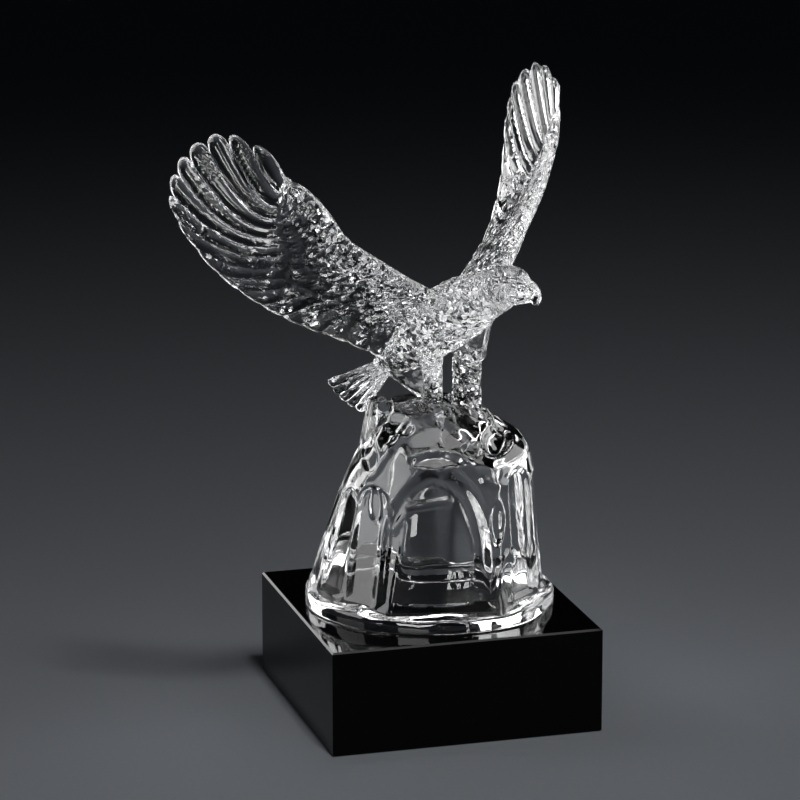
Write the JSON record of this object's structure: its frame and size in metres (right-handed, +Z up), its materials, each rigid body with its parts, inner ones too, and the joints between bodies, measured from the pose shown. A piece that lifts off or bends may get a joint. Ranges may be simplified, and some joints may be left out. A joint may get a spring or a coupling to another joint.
{
  "type": "crystal eagle sculpture on plinth",
  "caption": "clear crystal eagle with raised wings alighting on a faceted rock, mounted on a square black plinth",
  "frame": {"origin": "middle of the plinth's underside", "axes": "+Z up; X and Y run along the plinth's sides; the eagle faces 56 degrees from +X towards -Y"},
  "size_m": [0.2088, 0.171, 0.2822],
  "materials": {
    "black_crystal": "polished",
    "clear_crystal": "polished, fire-smoothed with moulded feather texture"
  },
  "bodies": {
    "root": {"black_plinth": "black_crystal", "crystal_eagle_and_rock": "clear_crystal"}
  },
  "joints": []
}
